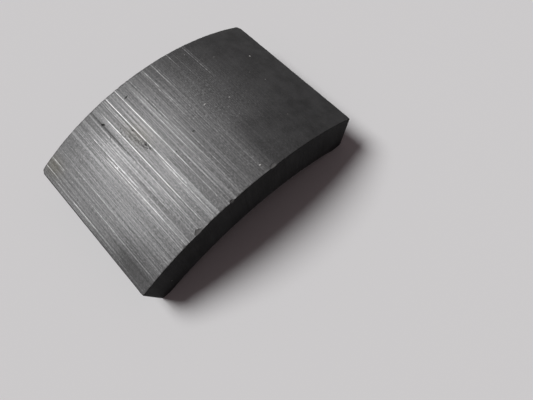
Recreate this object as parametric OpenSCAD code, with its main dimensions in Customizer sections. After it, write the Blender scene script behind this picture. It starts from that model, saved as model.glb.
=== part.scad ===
// Arc segment of hard ferrite from the stator of a small direct-current motor.
// One pressed, sintered and ground piece, standing on its two long feet like an arch.
// +X runs across the chord, +Y along the motor's axis and +Z up through the crown.
// The origin lies on the resting plane, under the middle of the arch.

/* [Arc section] */
// Radius of the ground outer face, which beds against the motor's shell
outer_radius = 66; // [55:0.5:90]
// Chord of the outer face, from one long edge to the other
outer_chord = 65; // [50:0.5:75]
// Thickness at the crown
crown_thickness = 12; // [8:0.25:14]
// Radius of the inner face, which looks at the rotor and has a centre of its own
inner_radius = 64; // [55:0.5:90]
// Lean of each side face from upright, drawing in towards its foot
side_lean = 12.5; // [4:0.5:20]
// Width of the flat ground along each foot, before its outer edge is broken
foot_flat = 2.5; // [1.5:0.25:4]

/* [Length] */
// Length along the motor's axis, between the two end faces
axial_length = 42.5; // [20:0.5:80]

/* [Edges] */
// Width of the break on the curved edges of the outer face, across each face
outer_edge_break = 0.1; // [0.05:0.05:1]
// Width of the break on the curved edges of the inner face, across each face
inner_edge_break = 0.2; // [0.05:0.05:1]
// Width of the break on the two long edges of the outer face, across each face
long_edge_break = 0.2; // [0.1:0.05:1.5]
// Width of the break between each side face and its foot, across each face
foot_edge_break = 0.6; // [0.2:0.1:1]
// Radius of the two upright corners at the front end, between the side faces and the end face
front_corner_radius = 0.4; // [0.2:0.1:3]
// Radius of the two upright corners at the back end, which are worn rounder
back_corner_radius = 1.2; // [0.2:0.1:3]

/* [Chips] */
// Angles from the crown to the chips knocked out of the front outer edge
chip_angles = [-13.1, -4.6, 6.1]; // [-20:0.1:20]
// Reach of each chip from the edge, across the outer face
chip_reaches = [1.1, 0.6, 1]; // [0.5:0.05:1.5]
// Drop of each chip below the outer face, where it runs out at the end face
chip_drops = [0.15, 0.5, 0.2]; // [0.1:0.05:0.5]

/* [Hidden] */
$fn = 180;

// Cutting tools reach this far past the faces that they trim.
overrun = 1;

// The section is worked out about the centre of the outer arc, then lifted onto its feet.
half_angle = asin(outer_chord / 2 / outer_radius);
edge_level = outer_radius * cos(half_angle);
inner_centre = outer_radius - crown_thickness - inner_radius;

// The feet lie where the side face and the inner arc are one flat's width apart.
lean_slope = tan(side_lean);
lean_stretch = 1 + pow(lean_slope, 2);
flat_start = outer_chord / 2 - (edge_level - inner_centre) * lean_slope - foot_flat;
foot_rise = (sqrt(pow(inner_radius, 2) * lean_stretch - pow(flat_start, 2))
             - flat_start * lean_slope) / lean_stretch;
foot_level = inner_centre + foot_rise;
foot_reach = flat_start + foot_flat + foot_rise * lean_slope;
height = outer_radius - foot_level;

// Lays a shape that was turned round the Z axis along the motor's axis, with its start at the back.
module along_axis(centre) {
    translate([0, axial_length / 2, centre - foot_level]) rotate([90, 0, 0]) children();
}

// Full round that the outer face belongs to, with both of its end edges broken.
module outer_round() {
    along_axis(0) rotate_extrude() polygon([
        [0, 0],
        [outer_radius - outer_edge_break, 0],
        [outer_radius, outer_edge_break],
        [outer_radius, axial_length - outer_edge_break],
        [outer_radius - outer_edge_break, axial_length],
        [0, axial_length]
    ]);
}

// Full round of the rotor's space, flared at both ends to break the inner edges.
module rotor_space() {
    flared = inner_radius + inner_edge_break + overrun;
    along_axis(inner_centre) rotate_extrude() polygon([
        [0, -overrun],
        [flared, -overrun],
        [inner_radius, inner_edge_break],
        [inner_radius, axial_length - inner_edge_break],
        [flared, axial_length + overrun],
        [0, axial_length + overrun]
    ]);
}

// One end of the outline looked at down a side face, which lies at x = 0, with its corner rounded.
module end_outline(corner_radius) {
    depth = 2 * outer_chord;
    half_length = axial_length / 2;
    translate([-depth, -overrun]) square([depth - corner_radius, half_length + overrun]);
    translate([-depth, -overrun]) square([depth, half_length - corner_radius + overrun]);
    translate([-corner_radius, half_length - corner_radius]) circle(corner_radius);
}

// The whole outline looked at down a side face.
module side_outline() {
    end_outline(back_corner_radius);
    mirror([0, 1]) end_outline(front_corner_radius);
}

// All that lies inside one leaning side face.
module side_slab() {
    translate([outer_chord / 2, 0, edge_level - foot_level]) rotate([0, side_lean, 0])
        linear_extrude(4 * height, center = true) side_outline();
}

// All that lies above the plane of the feet.
module above_feet() {
    translate([-outer_chord, -axial_length, 0]) cube([2 * outer_chord, 2 * axial_length, 2 * height]);
}

// Breaks a long edge at a place in the section: outward is the angle that the new face looks along,
// and opening is the angle between the two faces that meet there.
module edge_knife(place, outward, opening, width) {
    reach = height + overrun;
    translate([place.x, -axial_length, place.y]) rotate([0, -outward, 0])
        translate([-width * cos(opening / 2), 0, -reach]) cube([reach, 2 * axial_length, 2 * reach]);
}

// Both broken edges of one side face.
module side_breaks() {
    edge_knife([outer_chord / 2, edge_level - foot_level], 45 - (half_angle + side_lean) / 2,
               90 + half_angle - side_lean, long_edge_break);
    edge_knife([foot_reach, 0], -45 - side_lean / 2, 90 + side_lean, foot_edge_break);
}

// Shallow round hollow of one chip, which is a flake off the outer face and is lowest at the end face.
module chip(angle, reach, drop) {
    radius = (pow(reach, 2) + pow(drop, 2)) / (2 * drop);
    along_axis(0) rotate(-angle) translate([0, outer_radius + radius - drop, axial_length]) sphere(radius);
}

module arc_magnet() {
    color([0.2, 0.2, 0.21]) difference() {
        intersection() {
            outer_round();
            side_slab();
            mirror([1, 0, 0]) side_slab();
            above_feet();
        }
        rotor_space();
        side_breaks();
        mirror([1, 0, 0]) side_breaks();
        for (i = [0 : len(chip_angles) - 1]) chip(chip_angles[i], chip_reaches[i], chip_drops[i]);
    }
}

arc_magnet();
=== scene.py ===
import math
import random

import bmesh
import bpy
from mathutils import Matrix, Vector, kdtree, noise


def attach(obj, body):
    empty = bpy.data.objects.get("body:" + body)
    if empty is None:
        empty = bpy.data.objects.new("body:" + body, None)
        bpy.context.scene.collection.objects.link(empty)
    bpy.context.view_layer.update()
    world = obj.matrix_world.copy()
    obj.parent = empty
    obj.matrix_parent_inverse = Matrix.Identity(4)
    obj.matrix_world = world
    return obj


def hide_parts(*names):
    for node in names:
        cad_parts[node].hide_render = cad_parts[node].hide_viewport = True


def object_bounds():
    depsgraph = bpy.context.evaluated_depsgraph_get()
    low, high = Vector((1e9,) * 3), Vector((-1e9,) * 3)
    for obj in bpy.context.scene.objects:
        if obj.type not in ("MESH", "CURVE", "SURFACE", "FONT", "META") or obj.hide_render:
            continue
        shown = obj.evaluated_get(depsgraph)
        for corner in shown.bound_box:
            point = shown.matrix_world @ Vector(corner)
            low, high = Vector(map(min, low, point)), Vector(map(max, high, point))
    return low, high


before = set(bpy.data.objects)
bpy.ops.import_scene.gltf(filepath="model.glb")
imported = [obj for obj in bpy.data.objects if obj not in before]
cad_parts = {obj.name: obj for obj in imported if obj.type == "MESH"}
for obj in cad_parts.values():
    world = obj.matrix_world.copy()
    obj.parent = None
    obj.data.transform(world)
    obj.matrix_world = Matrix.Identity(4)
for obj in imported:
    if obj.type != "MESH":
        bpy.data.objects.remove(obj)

cadLow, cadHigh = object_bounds()
mm = 0.001
length = (cadHigh.y - cadLow.y) / mm
height = (cadHigh.z - cadLow.z) / mm
print(f"frame loaded: {length:.2f} mm long, {height:.2f} mm high")

# the arch and its mesh, in millimetres
archForm = {
    "outerRadius": 66.0,  # ground face
    "innerRadius": 64.0,  # hollow face, on a centre of its own
    "crown": 12.0,  # thickness at the top
    "chord": 65.0,  # across the outer face, before its edges are broken
    "sideLean": 12.5,  # degrees from upright
    "frontCorner": 0.4,  # radius of the upright corners at the front end
    "backCorner": 1.2,  # and at the back end
    "longBreak": 0.2,  # broken edges along the outer face
    "footBreak": 0.6,  # and along the feet
    "endBreak": 0.12,  # and round the two ends
    "edgeSteps": 2,
    "crispAngle": 50.0,  # degrees past which an edge is broken
    "edgeHold": 0.22,  # narrow loop that keeps each flat face flat up to its edge
    "edgeColumn": 0.55,  # width of the plain column beside each long edge
    "columns": 500,
    "rows": 48,
    "courses": 8,
    "touching": 0.01,  # a corner nearer than this to a face lies on it
}

outerRadius = archForm["outerRadius"]
innerRadius = archForm["innerRadius"]
outerCentre = height - outerRadius
innerCentre = height - archForm["crown"] - innerRadius
halfAngle = math.asin(archForm["chord"] / 2 / outerRadius)
sideLean = math.radians(archForm["sideLean"])
edgeLevel = outerCentre + outerRadius * math.cos(halfAngle)
footReach = archForm["chord"] / 2 - edgeLevel * math.tan(sideLean)
footInner = math.sqrt(innerRadius ** 2 - innerCentre ** 2)
sideNormal = Vector((math.cos(sideLean), 0, -math.sin(sideLean)))  # of the right side; the left is its mirror
pressedFace, groundFace, boreFace = range(3)  # material slots


def onOuter(angle, y, lift=0.0):
    reach = outerRadius + lift
    return Vector((reach * math.sin(angle), y, outerCentre + reach * math.cos(angle)))


def onInner(share, y):
    angle = share * math.asin(footInner / innerRadius)
    return Vector((innerRadius * math.sin(angle), y, innerCentre + innerRadius * math.cos(angle)))


def arcAngle(place):
    return math.atan2(place.x, place.z - outerCentre)


def outerDepth(place):
    return outerRadius - math.hypot(place.x, place.z - outerCentre)


def innerDepth(place):
    return math.hypot(place.x, place.z - innerCentre) - innerRadius


def sideDepth(place):
    nearEdge = Vector((abs(place.x), 0, place.z))
    return (onOuter(halfAngle, 0) - nearEdge).dot(sideNormal)


def endDepth(place):
    return length / 2 - abs(place.y)


def footDepth(place):
    return place.z


def breakEdges(bm, chosen, width):
    limit = math.radians(archForm["crispAngle"])
    crisp = [e for e in bm.edges if e.calc_face_angle(0) > limit and chosen(e)]
    bmesh.ops.bevel(bm, geom=crisp, offset=width, offset_type="OFFSET", affect="EDGES",
                    segments=archForm["edgeSteps"], profile=0.5, material=-1)


def archBlank(form):
    bm = bmesh.new()
    front = -length / 2
    touching = form["touching"]
    sweepHalf = halfAngle - form["edgeColumn"] / outerRadius
    top = bm.verts.new(onOuter(-sweepHalf, front))
    low = bm.verts.new(onInner(-1, front))
    seed = bm.edges.new((top, low))
    lowStart = arcAngle(low.co)
    swept = bmesh.ops.spin(bm, geom=[top, low, seed], cent=(0, front, outerCentre), axis=(0, 1, 0),
                           angle=2 * sweepHalf, steps=form["columns"])
    for v in bm.verts:  # the lower row slides from the swept arc onto the hollow's own arc
        if outerDepth(v.co) > form["crown"] / 2:
            v.co = onInner((arcAngle(v.co) - lowStart) / sweepHalf - 1, front)
    lastEdge = [g for g in swept["geom_last"] if isinstance(g, bmesh.types.BMEdge)][0]
    for side, edge in ((-1, seed), (1, lastEdge)):  # the leaning sides and the flats of the feet
        made = bmesh.ops.extrude_edge_only(bm, edges=[edge])["geom"]
        ends = sorted((g for g in made if isinstance(g, bmesh.types.BMVert)), key=lambda v: v.co.z)
        ends[0].co = (side * footReach, front, 0)
        ends[1].co = onOuter(side * halfAngle, front)
    grown = bmesh.ops.extrude_face_region(bm, geom=bm.faces[:])["geom"]
    bmesh.ops.translate(bm, verts=[g for g in grown if isinstance(g, bmesh.types.BMVert)], vec=(0, length, 0))
    bmesh.ops.recalc_face_normals(bm, faces=bm.faces[:])
    breakEdges(bm, lambda e: e.calc_length() > length / 2 and e.verts[0].co.z > touching, form["longBreak"])
    breakEdges(bm, lambda e: e.calc_length() > length / 2, form["footBreak"])
    breakEdges(bm, lambda e: all(endDepth(v.co) < touching for v in e.verts), form["endBreak"])
    for depth, slot in ((outerDepth, groundFace), (innerDepth, boreFace), (footDepth, boreFace),
                        (sideDepth, pressedFace), (endDepth, pressedFace)):
        flats = [f for f in bm.faces if all(abs(depth(v.co)) < touching for v in f.verts)]
        for f in flats:
            f.material_index = slot
        bmesh.ops.inset_region(bm, faces=flats, thickness=form["edgeHold"], use_even_offset=True)
    along = [e for e in bm.edges if abs(e.verts[0].co.y - e.verts[1].co.y) > length / 2]
    bmesh.ops.subdivide_edgering(bm, edges=along, cuts=form["rows"] - 1, interp_mode="LINEAR")
    upright = [e for e in bm.edges if e.calc_length() > form["crown"] / 2]
    bmesh.ops.subdivide_edgering(bm, edges=upright, cuts=form["courses"] - 1, interp_mode="LINEAR")
    return bm


def roundCorners(bm, form):  # turns square plan corners into round ones, ring by ring
    for v in bm.verts:
        radius = form["frontCorner"] if v.co.y < 0 else form["backCorner"]
        across = radius - sideDepth(v.co)
        along = radius - endDepth(v.co)
        if across > 0 and along > 0:
            squeeze = 1 - max(across, along) / math.hypot(across, along)
            v.co.x -= math.copysign(sideNormal.x * across * squeeze, v.co.x)
            v.co.z -= sideNormal.z * across * squeeze
            v.co.y -= math.copysign(along * squeeze, v.co.y)


bm = archBlank(archForm)
roundCorners(bm, archForm)
print(f"arch blank: {len(bm.verts)} vertices, {len(bm.faces)} faces")

# what grinding, handling and knocks left on it: angles in degrees from the crown, the rest in millimetres
wear = {
    "seed": 11,
    "furrowDepth": 0.003,  # of the fine lines that the wheel left along the outer face
    "furrowScales": (1.9, 3.1),  # lines to the millimetre, coarse to fine
    "furrowWander": 0.025,  # changes to the millimetre along a line
    "furrowFall": 0.4,  # how much weaker the finer lines are
    "furrowLayer": 3.7,  # keeps the noise of coarse and fine lines apart
    "groundSkin": 0.02,  # what lies deeper than this was not ground
    "groundLoss": 0.85,  # share of the furrows' depth that is lost past the ground edge
    "groundEdge": (3.0, 27.0),  # the lines fade out between these angles
    "streakWidth": 0.075,
    "streakReach": 0.25,  # half the room that one line has to itself
    "streakDepth": 0.004,
    "streakEnds": (2.5, 3.5),  # half the length over which a line fades at its far and near ends
    "streakPatchy": (0.8, 0.5),  # mean strength along a line, and how far it swings about that
    "streakPatchScale": 0.35,  # swings to the millimetre
    "streakLayer": 5.3,  # keeps the noise of one line apart from the next
    "streakDrift": 0.004,  # degrees that a line moves to the right for each millimetre to the front
    "streaks": [  # angle, far end, near end, strength: bright above nought, dull and dark below it
        (-29.2, 20, -22, -0.6), (-28.6, 20, -22, -0.5), (-28.15, 9, -3, 1.4), (-28.15, 16, -10, 0.6),
        (-27.35, 22, 17, 1.3), (-25.1, 22, 17, 1.3), (-25.45, 2, -7, 0.8), (-25.45, 22, -14, 0.3),
        (-25.55, -6, -21, 0.4), (-24.05, 4, -7, 0.3), (-22.95, 6, 0, 0.8), (-22.95, 14, -10, 0.3),
        (-16.95, 9, -12, 0.35), (-16.45, 8, -14, 1.2), (-16.45, 8, -22, 0.5), (-15.9, 17, -4, 0.8),
        (-15.35, 2, -4, 0.35), (-14.4, 13, -13, 0.4), (-13.9, 14, -9, 0.35), (-13.0, 6, -9, 0.35),
        (-12.5, 2, -14, 0.4), (-11.2, 17, -14, 1.3), (-11.2, 0, -20, 0.6), (-9.4, 22, 9, 0.6),
        (-8.95, 22, 10, 0.5), (-8.85, -2, -12, 0.7), (-8.8, -8, -20, 0.4), (-8.4, 22, -10, 1.4),
        (-8.4, 0, -19, 0.3), (-5.87, 22, 3, 1.7), (-5.87, 5, -9, 1.1), (-5.87, -4, -19, 0.45),
        (-5.15, 17, 12, -0.5), (-4.7, -2, -18, 0.35), (-3.3, 18, -9, 0.55), (-2.65, 17, -3, 0.45),
        (-2.1, 22, -7, 0.8), (-2.05, 0, -18, 0.3), (-1.05, 5, -15, 0.5), (1.05, 22, 2, 0.3),
        (1.5, 22, 6, 0.8), (3.2, 10, -8, 0.35), (3.75, 22, 13, 0.9), (4.25, 20, 11, 0.45),
        (4.3, -9, -21, -0.5), (8.0, 24, 17, 0.8), (9.2, 20, 11, 0.3), (12.1, 22, 10, 1.0),
        (12.6, 21, 11, 0.5),
    ],
    "dullPatches": [  # angle, place along, width across, width along, strength
        (-27.7, -15.0, 1.0, 8.0, 0.4), (-26.6, -14.0, 0.8, 8.0, 0.35), (-27.0, -16.0, 5.0, 7.0, 0.16),
        (-23.0, -14.0, 3.2, 8.0, 0.18), (-14.5, 18.5, 4.5, 8.0, 0.2), (-12.65, 14.0, 0.28, 8.0, 0.5),
        (0.8, -11.0, 4.0, 12.0, 0.2), (18.0, 19.0, 14.0, 8.0, 0.25),
    ],
    "stains": [(-26.3, 19.0, 2.2, 3.0, 0.8), (-9.3, 8.0, 1.8, 4.0, 0.4), (-7.6, 6.5, 1.5, 4.0, 0.3)],
    "chips": [(-13.1, 1.1, 0.15), (-4.6, 0.6, 0.35), (6.1, 1.0, 0.2)],  # angle, reach, drop: front edge
    "chipShade": 0.7,  # how far a chip takes on the pale colour of a fresh break, which is partly painted light on its floor
    "chipSetIn": 0.45,  # that look is full where more than this share of the drop has gone
    "pitSetIn": 0.1,  # the same for the dark of pits, which is partly painted shade
    "raggedness": 0.3,  # of the walls of chips and pits, as a share of their depth
    "wallScales": (2.2, 5.9),  # of the coarse and the fine unevenness of a wall
    "wallShares": (0.7, 0.3),
    "pits": [  # angle, place along, width, depth, how dark
        (-12.7, 16.25, 0.42, 0.2, 1.0), (-12.55, 16.05, 0.5, 0.24, 1.0), (-12.4, 15.85, 0.4, 0.2, 1.0),
        (-5.55, 17.45, 0.2, 0.1, 0.9), (-5.4, 17.47, 0.24, 0.12, 1.0), (-5.22, 17.5, 0.26, 0.13, 1.0),
        (-5.05, 17.53, 0.26, 0.13, 1.0), (-4.88, 17.57, 0.24, 0.12, 1.0), (-4.72, 17.6, 0.2, 0.1, 0.9),
        (-0.3, -1.55, 0.28, 0.08, 0.6), (-0.1, -1.65, 0.3, 0.09, 0.7), (0.08, -1.75, 0.24, 0.07, 0.5),
        (-9.55, 4.1, 0.24, 0.1, 0.8), (-9.1, 3.9, 0.22, 0.1, 0.8), (-9.2, 2.8, 0.26, 0.12, 0.9),
        (-8.75, 3.1, 0.22, 0.1, 0.8), (-9.35, 4.9, 0.2, 0.1, 0.7), (-9.0, 9.2, 0.24, 0.1, 0.6),
        (-8.8, 9.1, 0.2, 0.08, 0.5), (-10.9, 12.2, 0.18, 0.08, 0.5), (-10.45, 11.8, 0.22, 0.09, 0.6),
        (-13.3, 11.8, 0.18, 0.08, 0.4), (-13.1, 11.85, 0.18, 0.08, 0.4), (-14.1, -10.0, 0.2, 0.08, 0.4),
        (-5.5, -2.9, 0.3, 0.08, 0.5),
    ],
    "pittedPatches": [  # angle, place along, half widths across and along, slant, number of pits
        (-9.2, 3.5, 0.9, 1.9, 0.25, 40), (-9.6, 7.0, 1.3, 3.8, 0.35, 36), (-13.5, 11.9, 1.0, 0.5, 0.0, 4),
    ],
    "pitWidth": (0.12, 0.22),
    "pitDepth": 0.4,  # of the pits of a patch, as a share of their width
    "pitSpread": 0.5,  # of those pits about the middle, as a share of the half widths
    "pitShade": 0.5,  # how dark the pits of a patch are, next to the single ones; partly painted shade
    "crumbs": [  # grains stuck to the face: angle, place along, width, how pale
        (5.75, 2.45, 0.36, 1.0), (5.55, 2.4, 0.3, 0.8), (10.85, 0.4, 0.32, 0.5), (23.4, 9.1, 0.44, 1.0),
        (4.35, -18.8, 0.34, 1.0), (11.1, 18.3, 0.28, 0.3), (15.9, 13.4, 0.28, 0.4), (20.9, 0.1, 0.25, 0.5),
        (19.4, 4.2, 0.2, 0.4), (17.5, -12.0, 0.2, 0.4), (9.4, -5.0, 0.2, 0.4),
    ],
    "crumbTaper": 0.4,  # shares of the width
    "crumbHeight": 0.3,
    "crumbLumps": 0.5,  # share of the height
    "crumbScale": 6,
    "edgeUnevenness": 0.08,
    "edgeScales": (0.9, 2.7),
    "nickRadius": (0.3, 0.8),
    "nickDepth": (0.04, 0.14),
    "nickUnevenness": 0.12,  # share of the radius
    "nickSetIn": 0.05,
    "endNicks": ((-1, 22), (1, 10)),  # which end, and how many on its outer edge, with half as many inside
    "longNicks": 12,  # on each long edge of the outer face
    "footNicks": 8,  # on each foot
    "nickSpan": 0.48,  # of the length, either way from the middle
    "boreNickWay": (0.4, 0.9),  # which way the hollow face's edge looks, sideways at the feet and down
    "longNickWay": (0.5, 0.87),  # and the outer face's long edge, sideways and up
    "refinePasses": ((0.9, 4, True), (0.15, 2, False)),  # margin, cuts, whether only along the axis
}


def clamped(value):
    return min(1.0, max(0.0, value))


def smoothStep(low, high, value):
    share = clamped((value - low) / (high - low))
    return share * share * (3 - 2 * share)


class Hollow:  # a ball that takes material away, with an uneven wall and a mark that sets in with depth
    def __init__(self, centre, radius, uneven, setIn, shade=1.0):
        self.centre = centre
        self.radius = radius
        self.uneven = uneven
        self.setIn = setIn
        self.shade = shade


def chipHollow(angle, reach, drop):  # a shallow flake off the outer face, lowest at the front end
    radius = (reach ** 2 + drop ** 2) / (2 * drop)
    centre = onOuter(math.radians(angle), -length / 2, radius - drop)
    return Hollow(centre, radius, drop * wear["raggedness"], drop * wear["chipSetIn"], wear["chipShade"])


def pitHollow(angle, y, width, depth, shade):
    radius = (width ** 2 / 4 + depth ** 2) / (2 * depth)
    centre = onOuter(math.radians(angle), y, radius - depth)
    return Hollow(centre, radius, depth * wear["raggedness"], depth * wear["pitSetIn"], shade)


def pittedPatch(draw, angle, y, across, along, slant, count):
    hollows = []
    for _ in range(count):
        step = draw.gauss(0, wear["pitSpread"])
        width = draw.uniform(*wear["pitWidth"])
        aside = draw.gauss(0, wear["pitSpread"]) * across - step * along * slant
        place = angle + math.degrees(aside / outerRadius)
        hollows.append(pitHollow(place, y + step * along, width, width * wear["pitDepth"], wear["pitShade"]))
    return hollows


def edgeNicks(draw):  # small knocks, each a round hollow centred outside an edge
    hollows = []

    def knock(place, outward):
        radius = draw.uniform(*wear["nickRadius"])
        centre = place + outward.normalized() * (radius - draw.uniform(*wear["nickDepth"]))
        hollows.append(Hollow(centre, radius, radius * wear["nickUnevenness"], wear["nickSetIn"]))

    span = wear["nickSpan"]
    boreAside, boreDown = wear["boreNickWay"]
    longAside, longUp = wear["longNickWay"]
    for end, count in wear["endNicks"]:
        outward = Vector((0, end, 0))
        for _ in range(count):  # curved edges of the outer face
            angle = draw.uniform(-halfAngle, halfAngle)
            knock(onOuter(angle, end * length / 2), outward + Vector((math.sin(angle), 0, math.cos(angle))))
        for _ in range(count // 2):  # curved edges of the hollow face
            share = draw.uniform(-1, 1)
            knock(onInner(share, end * length / 2), outward - Vector((share * boreAside, 0, boreDown)))
    for side in (-1, 1):
        outward = Vector((side * sideNormal.x, 0, sideNormal.z))
        for _ in range(wear["longNicks"]):  # long edges of the outer face
            y = draw.uniform(-span, span) * length
            knock(onOuter(side * halfAngle, y), outward + Vector((side * longAside, 0, longUp)))
        for _ in range(wear["footNicks"]):  # long edges of the feet
            y = draw.uniform(-span, span) * length
            knock(Vector((side * footReach, y, 0)), outward - Vector((0, 0, 1)))
    return hollows


def vertexTree(bm):
    tree = kdtree.KDTree(len(bm.verts))
    bm.verts.index_update()
    bm.verts.ensure_lookup_table()
    for v in bm.verts:
        tree.insert(v.co, v.index)
    tree.balance()
    return tree


def refine(bm, spots, margin, cuts, lengthwise):  # finer mesh where the hollows and grains go
    tree = vertexTree(bm)
    near = set()
    for centre, radius in spots:
        near.update(index for _, index, _ in tree.find_range(centre, radius + margin))
    edges = [e for e in bm.edges if e.verts[0].index in near and e.verts[1].index in near]
    if lengthwise:
        edges = [e for e in edges if abs(e.verts[0].co.y - e.verts[1].co.y) > e.calc_length() / 2]
    bmesh.ops.subdivide_edges(bm, edges=edges, cuts=cuts, use_grid_fill=True)


def gouge(bm, hollows, mark):  # pushes what lies inside each hollow out onto its ragged wall
    tree = vertexTree(bm)
    coarseScale, fineScale = wear["wallScales"]
    coarseShare, fineShare = wear["wallShares"]
    for count, hollow in enumerate(hollows):
        for found, index, far in tree.find_range(hollow.centre, hollow.radius + hollow.uneven):
            coarse = noise.noise(found * coarseScale + Vector((count, 0, 0)))
            fine = noise.noise(found * fineScale)
            wall = hollow.radius + hollow.uneven * (coarseShare * coarse + fineShare * fine)
            if far < wall:
                v = bm.verts[index]
                v.co = hollow.centre + (v.co - hollow.centre).normalized() * wall
                v[mark] = max(v[mark], hollow.shade * clamped((wall - far) / hollow.setIn))


def furrow(arc, y):  # lines along the axis that wander little
    level = 0.0
    for count, scale in enumerate(wear["furrowScales"]):
        place = Vector((arc * scale, y * wear["furrowWander"], wear["furrowLayer"] * count))
        level += noise.noise(place) / (1 + wear["furrowFall"] * count)
    return level


def streakAt(arc, y):  # offset from the strongest streak within reach, and how strong it is here
    reach = wear["streakReach"]
    farFade, nearFade = wear["streakEnds"]
    mean, swing = wear["streakPatchy"]
    offset, shine = reach, 0.0
    for count, (angle, far, near, strength) in enumerate(wear["streaks"]):
        aside = arc - math.radians(angle - wear["streakDrift"] * y) * outerRadius
        if abs(aside) < reach:
            along = smoothStep(near - nearFade, near + nearFade, y)
            along *= 1 - smoothStep(far - farFade, far + farFade, y)
            place = Vector((0.0, y * wear["streakPatchScale"], wear["streakLayer"] * count))
            patchy = mean + swing * noise.noise(place)
            if abs(strength) * along >= abs(shine):
                offset, shine = aside, strength * along * patchy
        elif shine == 0.0 and abs(aside) < 2 * reach:  # keeps its sign, so that no false line shows
            offset = math.copysign(reach, aside)
    return offset, shine


def patchAt(patches, arc, y):  # how strong soft-edged patches are here, all together
    level = 0.0
    for angle, middle, wide, tall, strength in patches:
        across = (arc - math.radians(angle) * outerRadius) / wide
        along = (y - middle) / tall
        level += strength * math.exp(-across * across - along * along)
    return clamped(level)


def grindOuterFace(bm, marks):
    start, stop = (math.radians(a) * outerRadius for a in wear["groundEdge"])
    for v in bm.verts:
        if outerDepth(v.co) < wear["groundSkin"]:
            arc, y = arcAngle(v.co) * outerRadius, v.co.y
            ground = 1 - wear["groundLoss"] * smoothStep(start, stop, arc)
            offset, shine = streakAt(arc, y)
            v[marks["offset"]], v[marks["shine"]] = offset, shine
            v[marks["dull"]] = patchAt(wear["dullPatches"], arc, y)
            v[marks["stain"]] = patchAt(wear["stains"], arc, y)
            groove = abs(shine) * math.exp(-(offset / wear["streakWidth"]) ** 2)
            lift = wear["furrowDepth"] * furrow(arc, y) * ground - wear["streakDepth"] * groove
            v.co += Vector((math.sin(arc / outerRadius), 0, math.cos(arc / outerRadius))) * lift


def stickCrumbs(bm, mark):
    tree = vertexTree(bm)
    for angle, y, width, pale in wear["crumbs"]:
        place = onOuter(math.radians(angle), y)
        up = (place - Vector((0, y, outerCentre))).normalized()
        for found, index, far in tree.find_range(place, width):
            v = bm.verts[index]
            lump = math.exp(-(far / (width * wear["crumbTaper"])) ** 2)
            uneven = 1 + wear["crumbLumps"] * noise.noise(found * wear["crumbScale"])
            v.co += up * width * wear["crumbHeight"] * lump * uneven
            v[mark] = max(v[mark], pale * lump)


def roughenEdges(bm, size):  # broken edges are never quite straight
    for v in bm.verts:
        depths = sorted(abs(d(v.co)) for d in (outerDepth, innerDepth, sideDepth, endDepth, footDepth))
        if depths[1] < archForm["endBreak"]:
            shifts = [noise.noise_vector(v.co * scale) * size for scale in wear["edgeScales"]]
            v.co += sum(shifts, Vector()) / len(shifts)
            v.co.z = max(0.0, v.co.z)  # the feet still stand on the resting plane


draw = random.Random(wear["seed"])
noise.seed_set(wear["seed"])  # without it the edges would differ from run to run
marks = {name: bm.verts.layers.float.new(name)
         for name in ("offset", "shine", "dull", "stain", "broken", "pitted", "crumb")}
chips = [chipHollow(*chip) for chip in wear["chips"]]
pits = [pitHollow(*pitFloorAndShade) for pitFloorAndShade in wear["pits"]]
patchPits = []
for patch in wear["pittedPatches"]:
    patchPits += pittedPatch(draw, *patch)
spots = [(onOuter(math.radians(angle), y), width) for angle, y, width, _ in wear["crumbs"]]
spots += [(hollow.centre, hollow.radius) for hollow in pits + patchPits + chips]
for margin, cuts, lengthwise in wear["refinePasses"]:
    refine(bm, spots, margin, cuts, lengthwise)
print(f"refined: {len(bm.verts)} vertices")
roughenEdges(bm, wear["edgeUnevenness"])
grindOuterFace(bm, marks)
gouge(bm, edgeNicks(draw), marks["broken"])
gouge(bm, chips, marks["broken"])
gouge(bm, patchPits, marks["pitted"])
gouge(bm, pits, marks["pitted"])
stickCrumbs(bm, marks["crumb"])

bmesh.ops.scale(bm, vec=(mm, mm, mm), verts=bm.verts[:])
mesh = bpy.data.meshes.new("arcMagnet")
bm.to_mesh(mesh)
bm.free()
magnet = bpy.data.objects.new("arcMagnet", mesh)
bpy.context.scene.collection.objects.link(magnet)
mesh.shade_smooth()
triangles = sum(len(p.vertices) - 2 for p in mesh.polygons)
print(f"arc magnet: {len(mesh.vertices)} vertices, {triangles} triangles")
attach(magnet, "root")
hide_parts("arc_magnet")


# node helpers
def addNode(tree, kind, values=None, **settings):
    node = tree.nodes.new(kind)
    for name, setting in settings.items():
        setattr(node, name, setting)
    for socket, value in (values or {}).items():
        if isinstance(value, bpy.types.NodeSocket):
            tree.links.new(value, node.inputs[socket])
        else:
            node.inputs[socket].default_value = value
    return node


def calc(tree, operation, first, second=0.0):
    return addNode(tree, "ShaderNodeMath", {0: first, 1: second}, operation=operation).outputs[0]


def total(tree, *terms):  # adds up pairs of a value and its weight
    result = 0.0
    for value, weight in terms:
        node = addNode(tree, "ShaderNodeMath", {0: value, 1: weight, 2: result}, operation="MULTIPLY_ADD")
        result = node.outputs[0]
    return result


def spread(tree, value, low, high, toLow=0.0, toHigh=1.0):
    node = addNode(tree, "ShaderNodeMapRange", {"Value": value, "From Min": low, "From Max": high,
                                                "To Min": toLow, "To Max": toHigh},
                   interpolation_type="SMOOTHSTEP")
    return node.outputs["Result"]


def hump(tree, value):  # one at nought, and next to nothing from two on, to either side
    return calc(tree, "EXPONENT", calc(tree, "MULTIPLY", calc(tree, "MULTIPLY", value, value), -1.0))


def blend(tree, share, first, second):
    node = addNode(tree, "ShaderNodeMix", data_type="RGBA")
    sockets = {s.name: s for s in node.inputs if s.enabled}
    for name, value in (("Factor", share), ("A", first), ("B", second)):
        if isinstance(value, bpy.types.NodeSocket):
            tree.links.new(value, sockets[name])
        else:
            sockets[name].default_value = value
    return [s for s in node.outputs if s.enabled][0]


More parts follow.
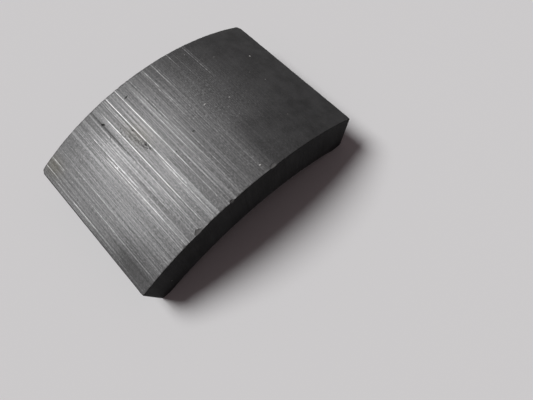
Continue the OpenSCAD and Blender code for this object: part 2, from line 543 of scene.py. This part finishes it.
def cloud(tree, place, stretch, detail, roughness=0.55):
    mapped = addNode(tree, "ShaderNodeMapping", {"Vector": place, "Scale": stretch})
    return addNode(tree, "ShaderNodeTexNoise", {"Vector": mapped.outputs[0], "Scale": 1.0, "Detail": detail,
                                                "Roughness": roughness}).outputs["Fac"]


def newGroup(name, outputs):
    group = bpy.data.node_groups.new(name, "ShaderNodeTree")
    group.interface.new_socket("Place", in_out="INPUT", socket_type="NodeSocketVector")
    for socket in outputs:
        group.interface.new_socket(socket, in_out="OUTPUT", socket_type="NodeSocketFloat")
    place = group.nodes.new("NodeGroupInput").outputs["Place"]
    return group, place, group.nodes.new("NodeGroupOutput").inputs


def attribute(tree, name):
    return addNode(tree, "ShaderNodeAttribute", attribute_name=name).outputs["Fac"]


# lines that a grinding wheel leaves along the axis, and how far its polish reaches, with painted sheen that
# dims it towards both ends; laid out on the arc in millimetres
wheelMarksAndSheen = {
    "lines": ((4.3, 0.02, 1.0), 1.0),  # noise to the millimetre across and along, and its detail
    "streaks": ((4.2, 0.03, 1.0), 1.0),
    "dashes": ((4.6, 1.4, 1.0), 1.0),
    "flecks": ((4.4, 3.2, 1.0), 0.0),
    "lineLimits": (0.45, 0.65),  # noise values between which a mark sets in
    "streakLimits": (0.64, 0.72),
    "dashLimits": (0.4, 0.66),
    "fleckLimits": (0.62, 0.74),
    "lineMean": 0.3,  # level that the lines fall back to at both ends
    "lineFront": (-20.0, -4.0, 0.75, 1.0),  # from and to along the axis, and the strengths there
    "lineBack": (8.0, 20.0, 1.0, 0.7),
    # painted sheen: less polish towards the front and the back, so that the sheen is brightest at mid length
    "paintedSheenFront": (-22.0, -6.0, 0.85, 1.0),
    "paintedSheenBack": (6.0, 22.0, 1.0, 0.77),
    "fadeRight": (1.0, 0.1),  # before and past the ground edge
    "dimPastArc": (5.2, 7.4, 1.0, 0.87),  # across the arc: less polish past this, so the face is darker there
    "dimFrontAlong": (-10.0, -4.0, 0.5, 0.0),  # front corner on the right, where the polish is cut, so it is darker there
    "dimFrontAcross": (4.5, 10.0),
}


def grindLinesGroup(form):
    group, place, result = newGroup("grindLinesAndSheen", ("Fade", "Lines", "Streaks", "Dashes", "Flecks"))
    apart = addNode(group, "ShaderNodeSeparateXYZ", {0: place}).outputs
    rise = calc(group, "SUBTRACT", apart["Z"], outerCentre * mm)
    arc = calc(group, "MULTIPLY", calc(group, "ARCTAN2", apart["X"], rise), outerRadius)
    along = calc(group, "DIVIDE", apart["Y"], mm)
    flat = addNode(group, "ShaderNodeCombineXYZ", {"X": arc, "Y": along}).outputs[0]
    clouds = {}
    for name in ("lines", "streaks", "dashes", "flecks"):
        stretch, detail = form[name]
        clouds[name] = cloud(group, flat, stretch, detail)
    start, stop = (math.radians(a) * outerRadius for a in wear["groundEdge"])
    fade = spread(group, arc, start, stop, *form["fadeRight"])
    dimFront = calc(group, "MULTIPLY", spread(group, along, *form["dimFrontAlong"]),
                  spread(group, arc, *form["dimFrontAcross"]))
    # the two shares along the axis are painted sheen, which dims the polish towards both ends
    for share in (calc(group, "SUBTRACT", 1.0, dimFront), spread(group, arc, *form["dimPastArc"]),
                  spread(group, along, *form["paintedSheenFront"]), spread(group, along, *form["paintedSheenBack"])):
        fade = calc(group, "MULTIPLY", fade, share)
    group.links.new(fade, result["Fade"])
    clear = calc(group, "MULTIPLY", spread(group, along, *form["lineFront"]),
                 spread(group, along, *form["lineBack"]))
    level = calc(group, "SUBTRACT", spread(group, clouds["lines"], *form["lineLimits"]), form["lineMean"])
    lines = total(group, (calc(group, "MULTIPLY", level, clear), 1.0), (form["lineMean"], 1.0))
    group.links.new(lines, result["Lines"])
    group.links.new(spread(group, clouds["streaks"], *form["streakLimits"]), result["Streaks"])
    group.links.new(spread(group, clouds["dashes"], *form["dashLimits"]), result["Dashes"])
    group.links.new(spread(group, clouds["flecks"], *form["fleckLimits"]), result["Flecks"])
    return group


# grain of the pressed and fired ceramic, with the marks where it slid along the die
firedGrain = {
    "Grain": ((2600, 2600, 2600), 3.0, 0.7),  # noise to the metre each way, its detail and roughness
    "Mottle": ((260, 260, 260), 4.0, 0.55),
    "Drag": ((1100, 1100, 35), 2.0, 0.55),
}
firedLimits = (0.3, 0.7)  # noise values between which each one sets in


def sinterGrainGroup(form, limits):
    group, place, result = newGroup("sinterGrain", tuple(form))
    for name, (stretch, detail, roughness) in form.items():
        group.links.new(spread(group, cloud(group, place, stretch, detail, roughness), *limits), result[name])
    return group


grindLinesAndSheen = grindLinesGroup(wheelMarksAndSheen)
sinterGrain = sinterGrainGroup(firedGrain, firedLimits)

groundLook = {
    "dark": (0.011, 0.011, 0.0112, 1),
    "light": (0.038, 0.038, 0.0385, 1),
    "polished": (0.138, 0.138, 0.139, 1),
    "streak": (0.38, 0.38, 0.38, 1),
    "stain": (0.075, 0.067, 0.036, 1),
    # pale fresh break on nicks and chips; on the chip floors it is partly painted light
    "fracture": (0.16, 0.158, 0.156, 1),
    "crumb": (0.75, 0.74, 0.71, 1),
    # pits: partly their unground floor, partly painted shade in the hollow
    "pitFloorAndShade": (0.012, 0.0115, 0.011, 1),
    "polish": 0.65,  # how metallic the wheel left it
    "polishTint": 0.65,  # and how far that takes on the polished colour
    "polishOf": (0.75, 0.6, 0.64),  # what lines, dashes and the plain face add to it
    "strayOf": (0.1, 0.2),  # how bright stray streaks and flecks are
    "glintRange": (0.6, 1.3),  # how bright a line is between dashes and on them
    "stainTint": 0.4,
    "toneOf": (0.7, 0.3),  # shares of mottle and grain in the bare colour
    "roughness": 0.43,  # before what follows is added
    "roughOf": (-0.10, 0.05, 0.06, 0.3, 0.4),  # by lines, ground face, dashes, breaks and pits
    "ridgeOf": (1.0, 0.6, 0.6),  # shares of lines, grain and dashes in the relief
    "boreShare": 0.5,  # how far the bore and the feet take on the wheel's marks
    "burrDullAndShade": 0.35,  # how much darker the burrs beside a bright line are: partly their own dull finish, partly painted shade
    "burrPlace": 2.8,  # how far aside they lie, in widths of the line
    "anisotropy": 0.71,  # the sheen spreads across the lines
    "ior": 1.3,
    "lineDepth": 0.000007,  # metres
}
pressedLook = {
    # partly the fired ceramic's own dark grey, partly painted shade, which makes every pressed face darker
    # than the bare ceramic
    "dark": (0.006, 0.006, 0.0062, 1),
    "light": (0.026, 0.026, 0.0265, 1),
    "fracture": (0.060, 0.059, 0.058, 1),
    "fleck": (0.30, 0.29, 0.28, 1),
    "fleckPlace": (-0.02577, cadLow.y, 0.0054),  # metres, a pale grain on the front end
    "fleckWidth": (0.00008, 0.0002),  # fades out between these distances from its middle
    "toneOf": (0.5, 0.3, 0.2),  # shares of mottle, drag marks and grain in the colour
    "roughness": 0.70,  # before what follows is added
    "roughOf": (0.1, 0.15),  # by mottle and breaks
    "reliefOf": (1.0, 0.6),  # shares of grain and drag marks
    "ior": 1.25,
    "grainDepth": 0.00003,  # metres
}


def newMaterial(name, look):
    material = bpy.data.materials.new(name)
    material.use_nodes = True
    tree = material.node_tree
    shader = tree.nodes["Principled BSDF"]
    shader.inputs["IOR"].default_value = look["ior"]
    place = addNode(tree, "ShaderNodeTexCoord").outputs["Object"]
    return material, tree, shader, place


def groundFerrite(name, look, strength):
    material, tree, shader, place = newMaterial(name, look)
    shader.inputs["Anisotropic"].default_value = look["anisotropy"]
    across = addNode(tree, "ShaderNodeTangent", direction_type="RADIAL", axis="Y")
    tree.links.new(across.outputs["Tangent"], shader.inputs["Tangent"])
    wheel = addNode(tree, "ShaderNodeGroup", node_tree=grindLinesAndSheen)
    grain = addNode(tree, "ShaderNodeGroup", node_tree=sinterGrain)
    for group in (wheel, grain):
        tree.links.new(place, group.inputs["Place"])
    lines, streaks = wheel.outputs["Lines"], wheel.outputs["Streaks"]
    dashes, flecks = wheel.outputs["Dashes"], wheel.outputs["Flecks"]
    broken, pitted = attribute(tree, "broken"), attribute(tree, "pitted")
    # how far the wheel's polish reaches here, with painted sheen that dims it towards both ends
    ground = calc(tree, "MULTIPLY", wheel.outputs["Fade"], strength)
    fine = calc(tree, "MULTIPLY", lines, ground)
    aside = calc(tree, "ABSOLUTE", calc(tree, "DIVIDE", attribute(tree, "offset"), wear["streakWidth"]))
    shine = attribute(tree, "shine")
    streak = calc(tree, "MULTIPLY", shine, hump(tree, aside))
    # dark flanks beside bright lines: partly dull burrs, partly painted shade
    burrDullAndShade = calc(tree, "MULTIPLY", calc(tree, "MAXIMUM", shine, 0.0),
                hump(tree, calc(tree, "SUBTRACT", aside, look["burrPlace"])))
    scour = total(tree, (calc(tree, "MINIMUM", streak, 0.0), -1.0), (attribute(tree, "dull"), 1.0),
                  (burrDullAndShade, look["burrDullAndShade"]))
    spoilt = calc(tree, "MAXIMUM", calc(tree, "MAXIMUM", broken, pitted), scour)
    whole = calc(tree, "SUBTRACT", 1.0, spoilt)
    lineShare, dashShare, plainShare = look["polishOf"]
    polish = total(tree, (lines, lineShare), (dashes, dashShare), (plainShare, 1.0))
    polish = calc(tree, "MULTIPLY", ground, polish)
    polish = calc(tree, "MULTIPLY", polish, whole)
    stray = calc(tree, "MULTIPLY", ground, total(tree, *zip((streaks, flecks), look["strayOf"])))
    glint = total(tree, (calc(tree, "MAXIMUM", streak, 0.0), 1.0), (stray, 1.0))
    glint = calc(tree, "MULTIPLY", glint, spread(tree, dashes, 0, 1, *look["glintRange"]))
    glint = calc(tree, "MULTIPLY", glint, whole)
    bare = (grain.outputs["Mottle"], grain.outputs["Grain"])
    tone = total(tree, *zip(bare, look["toneOf"]))
    body = blend(tree, tone, look["dark"], look["light"])
    body = blend(tree, calc(tree, "MULTIPLY", polish, look["polishTint"]), body, look["polished"])
    body = blend(tree, glint, body, look["streak"])
    stained = calc(tree, "MULTIPLY", attribute(tree, "stain"), look["stainTint"])
    body = blend(tree, stained, body, look["stain"])
    # fresh breaks, with painted light on the chip floors
    body = blend(tree, broken, body, look["fracture"])
    # pits darkened: partly their unground floor, partly painted shade in the hollow
    body = blend(tree, pitted, body, look["pitFloorAndShade"])
    body = blend(tree, attribute(tree, "crumb"), body, look["crumb"])
    tree.links.new(body, shader.inputs["Base Color"])
    tree.links.new(total(tree, (polish, look["polish"]), (glint, 1.0)), shader.inputs["Metallic"])
    rough = total(tree, *zip((fine, ground, dashes, broken, pitted), look["roughOf"]),
                  (look["roughness"], 1.0))
    tree.links.new(rough, shader.inputs["Roughness"])
    ridge = total(tree, *zip((fine, grain.outputs["Grain"], dashes), look["ridgeOf"]))
    bump = addNode(tree, "ShaderNodeBump", {"Strength": 1.0, "Distance": look["lineDepth"], "Height": ridge})
    tree.links.new(bump.outputs["Normal"], shader.inputs["Normal"])
    return material


def pressedFerrite(name, look):
    material, tree, shader, place = newMaterial(name, look)
    grain = addNode(tree, "ShaderNodeGroup", node_tree=sinterGrain)
    tree.links.new(place, grain.inputs["Place"])
    broken = attribute(tree, "broken")
    mottle, drag, grit = (grain.outputs[mark] for mark in ("Mottle", "Drag", "Grain"))
    tone = total(tree, *zip((mottle, drag, grit), look["toneOf"]))
    body = blend(tree, tone, look["dark"], look["light"])
    body = blend(tree, broken, body, look["fracture"])
    away = addNode(tree, "ShaderNodeVectorMath", {0: place, 1: look["fleckPlace"]}, operation="DISTANCE")
    fleck = spread(tree, away.outputs["Value"], *look["fleckWidth"], 1.0, 0.0)
    body = blend(tree, fleck, body, look["fleck"])
    tree.links.new(body, shader.inputs["Base Color"])
    rough = total(tree, *zip((mottle, broken), look["roughOf"]), (look["roughness"], 1.0))
    tree.links.new(rough, shader.inputs["Roughness"])
    relief = total(tree, *zip((grit, drag), look["reliefOf"]))
    bump = addNode(tree, "ShaderNodeBump",
                   {"Strength": 1.0, "Distance": look["grainDepth"], "Height": relief})
    tree.links.new(bump.outputs["Normal"], shader.inputs["Normal"])
    return material


for slot in (pressedFerrite("pressedFerrite", pressedLook), groundFerrite("groundFerrite", groundLook, 1.0),
             groundFerrite("boreFerrite", groundLook, groundLook["boreShare"])):
    mesh.materials.append(slot)
print("materials: pressed ends and sides, ground outer face, finer ground bore and feet")

# floor, light and camera
studio = {
    "floorRadius": 3.0,  # metres
    "floorSides": 96,
    "floorRoughness": 0.9,
    "floorColour": (0.75, 0.75, 0.755, 1),
    "keyDirection": (-0.30, 0.53, 0.79),  # from the magnet towards the lamp
    "keyAngle": 30.0,  # degrees across, which sets how soft the shadow is
    "keyStrength": 2.8,
    "skyColour": (0.096, 0.077, 0.080, 1),
    "backdropColour": (0.602, 0.588, 0.594, 1),  # what is seen behind the magnet, and in its gloss
    "backdropFade": (0.3, 0.55),  # height of the direction, as a share of one
}

bm = bmesh.new()
bmesh.ops.create_circle(bm, cap_ends=True, radius=studio["floorRadius"], segments=studio["floorSides"])
floorMesh = bpy.data.meshes.new("paleFloor")
bm.to_mesh(floorMesh)
bm.free()
floor = bpy.data.objects.new("paleFloor", floorMesh)
bpy.context.scene.collection.objects.link(floor)
paper = bpy.data.materials.new("paleFloor")
paper.use_nodes = True
paperShader = paper.node_tree.nodes["Principled BSDF"]
paperShader.inputs["Base Color"].default_value = studio["floorColour"]
paperShader.inputs["Roughness"].default_value = studio["floorRoughness"]
paperShader.inputs["Specular IOR Level"].default_value = 0.0  # paper has no gloss
floorMesh.materials.append(paper)

keyLight = bpy.data.lights.new("softWindow", "SUN")
keyLight.angle = math.radians(studio["keyAngle"])
keyLight.energy = studio["keyStrength"]
keyLamp = bpy.data.objects.new("softWindow", keyLight)
towards = Vector(studio["keyDirection"]).normalized()
keyLamp.location = towards
keyLamp.rotation_euler = towards.to_track_quat("Z", "Y").to_euler()
bpy.context.scene.collection.objects.link(keyLamp)

world = bpy.data.worlds.new("studioSky")
world.use_nodes = True
sky = world.node_tree
direction = addNode(sky, "ShaderNodeTexCoord").outputs["Generated"]
rise = addNode(sky, "ShaderNodeSeparateXYZ", {0: direction}).outputs["Z"]
ray = addNode(sky, "ShaderNodeLightPath").outputs
seen = calc(sky, "MAXIMUM", ray["Is Glossy Ray"], ray["Is Transmission Ray"])
seen = calc(sky, "MAXIMUM", seen, ray["Is Camera Ray"])
fade = spread(sky, rise, *studio["backdropFade"])
backdrop = blend(sky, fade, studio["backdropColour"], studio["skyColour"])
sky.links.new(blend(sky, seen, studio["skyColour"], backdrop), sky.nodes["Background"].inputs["Color"])
bpy.context.scene.world = world

shot = {
    "aim": (2.61, -22.73, 9.0),  # millimetres, where the middle of the picture looks
    "azimuth": -35.49,
    "elevation": 66.29,
    "roll": -7.71,
    "distance": 111.37,
    "lens": 31.94,
    "sensor": 36,
    "clipStart": 0.005,  # metres
}
camera = bpy.data.cameras.new("photoView")
camera.lens = shot["lens"]
camera.sensor_width = shot["sensor"]
camera.clip_start = shot["clipStart"]
photoView = bpy.data.objects.new("photoView", camera)
turn, tilt = math.radians(shot["azimuth"]), math.radians(shot["elevation"])
back = Vector((math.sin(turn) * math.cos(tilt), -math.cos(turn) * math.cos(tilt), math.sin(tilt)))
stand = (Vector(shot["aim"]) + back * shot["distance"]) * mm
facing = (-back).to_track_quat("-Z", "Y").to_matrix().to_4x4()
roll = Matrix.Rotation(math.radians(shot["roll"]), 4, "Z")
photoView.matrix_world = Matrix.Translation(stand) @ facing @ roll
bpy.context.scene.collection.objects.link(photoView)
bpy.context.scene.camera = photoView
bpy.context.scene.view_settings.view_transform = "Standard"
print("studio: floor, lamp, sky and camera")
